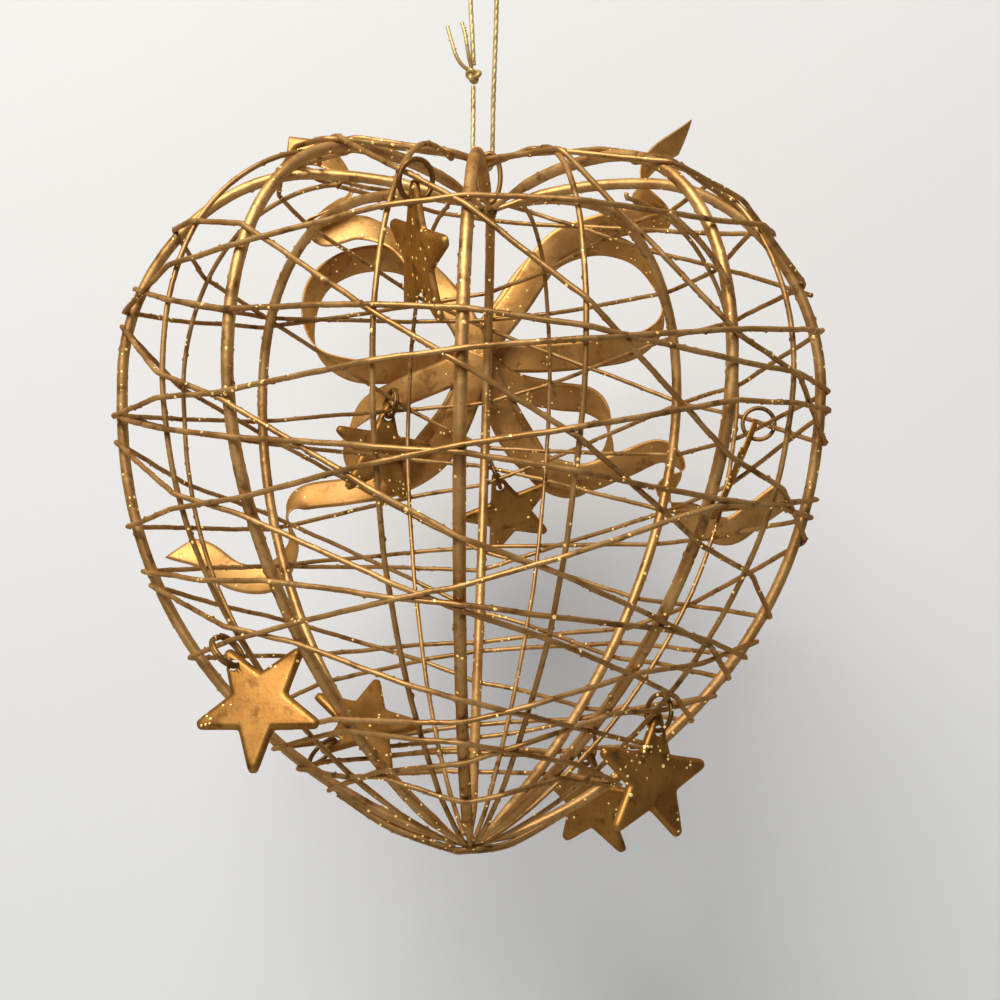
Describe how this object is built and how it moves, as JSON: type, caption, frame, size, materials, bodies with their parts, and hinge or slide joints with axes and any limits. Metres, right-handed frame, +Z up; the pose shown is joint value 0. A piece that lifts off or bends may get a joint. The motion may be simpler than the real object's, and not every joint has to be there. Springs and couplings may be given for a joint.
{
  "type": "wire ornament",
  "caption": "Heart-shouldered wire cage ornament with tin stars on jump rings and a curled ribbon bow, hung on a looped cord.",
  "frame": {"origin": "the point inside the top of the hanging cord where the ornament is held", "axes": "+Z up, +X to the right seen from the front, -Y towards the viewer; the ribbon bow is at the back, +Y"},
  "size_m": [0.1331, 0.1258, 0.1562],
  "materials": {
    "bottom_joint": "gold-painted wire",
    "cord_knot": "twisted metallic thread",
    "hanging_cord": "twisted metallic thread",
    "hanging_eye": "gold-painted wire",
    "loop_lower_left": "metallised curling ribbon",
    "loop_lower_right": "metallised curling ribbon",
    "loop_upper_left": "metallised curling ribbon",
    "loop_upper_right": "metallised curling ribbon",
    "rib_back": "gold-painted wire",
    "rib_back_left": "gold-painted wire",
    "rib_back_right": "gold-painted wire",
    "rib_front": "gold-painted wire",
    "rib_front_left": "gold-painted wire",
    "rib_front_right": "gold-painted wire",
    "rib_left": "gold-painted wire",
    "rib_right": "gold-painted wire",
    "ring_a": "gold-painted wire",
    "ring_b": "gold-painted wire",
    "ring_c": "gold-painted wire",
    "ring_d": "gold-painted wire",
    "ring_e": "gold-painted wire",
    "ring_f": "gold-painted wire",
    "ring_g": "gold-painted wire",
    "ring_h": "gold-painted wire",
    "star_a": "gold-painted tin, rubbed and speckled",
    "star_b": "gold-painted tin, rubbed and speckled",
    "star_c": "gold-painted tin, rubbed and speckled",
    "star_d": "gold-painted tin, rubbed and speckled",
    "star_e": "gold-painted tin, rubbed and speckled",
    "star_f": "gold-painted tin, rubbed and speckled",
    "star_g": "gold-painted tin, rubbed and speckled",
    "star_h": "gold-painted tin, rubbed and speckled",
    "tail_lower_left": "metallised curling ribbon",
    "tail_lower_right": "metallised curling ribbon",
    "tail_upper_left": "metallised curling ribbon",
    "tail_upper_right": "metallised curling ribbon",
    "top_joint": "gold-painted wire",
    "upright_back_left": "gold-painted wire",
    "upright_back_right": "gold-painted wire",
    "upright_front_left": "gold-painted wire",
    "upright_front_right": "gold-painted wire",
    "upright_left_back": "gold-painted wire",
    "upright_left_front": "gold-painted wire",
    "upright_right_back": "gold-painted wire",
    "upright_right_front": "gold-painted wire",
    "winding_wire": "gold-painted wire"
  },
  "bodies": {
    "root": {"bottom_joint": "bottom_joint", "cord_knot": "cord_knot", "hanging_cord": "hanging_cord", "hanging_eye": "hanging_eye", "loop_lower_left": "loop_lower_left", "loop_lower_right": "loop_lower_right", "loop_upper_left": "loop_upper_left", "loop_upper_right": "loop_upper_right", "rib_back": "rib_back", "rib_back_left": "rib_back_left", "rib_back_right": "rib_back_right", "rib_front": "rib_front", "rib_front_left": "rib_front_left", "rib_front_right": "rib_front_right", "rib_left": "rib_left", "rib_right": "rib_right", "ring_a": "ring_a", "ring_b": "ring_b", "ring_c": "ring_c", "ring_d": "ring_d", "ring_e": "ring_e", "ring_f": "ring_f", "ring_g": "ring_g", "ring_h": "ring_h", "star_a": "star_a", "star_b": "star_b", "star_c": "star_c", "star_d": "star_d", "star_e": "star_e", "star_f": "star_f", "star_g": "star_g", "star_h": "star_h", "tail_lower_left": "tail_lower_left", "tail_lower_right": "tail_lower_right", "tail_upper_left": "tail_upper_left", "tail_upper_right": "tail_upper_right", "top_joint": "top_joint", "upright_back_left": "upright_back_left", "upright_back_right": "upright_back_right", "upright_front_left": "upright_front_left", "upright_front_right": "upright_front_right", "upright_left_back": "upright_left_back", "upright_left_front": "upright_left_front", "upright_right_back": "upright_right_back", "upright_right_front": "upright_right_front", "winding_wire": "winding_wire"}
  },
  "joints": []
}
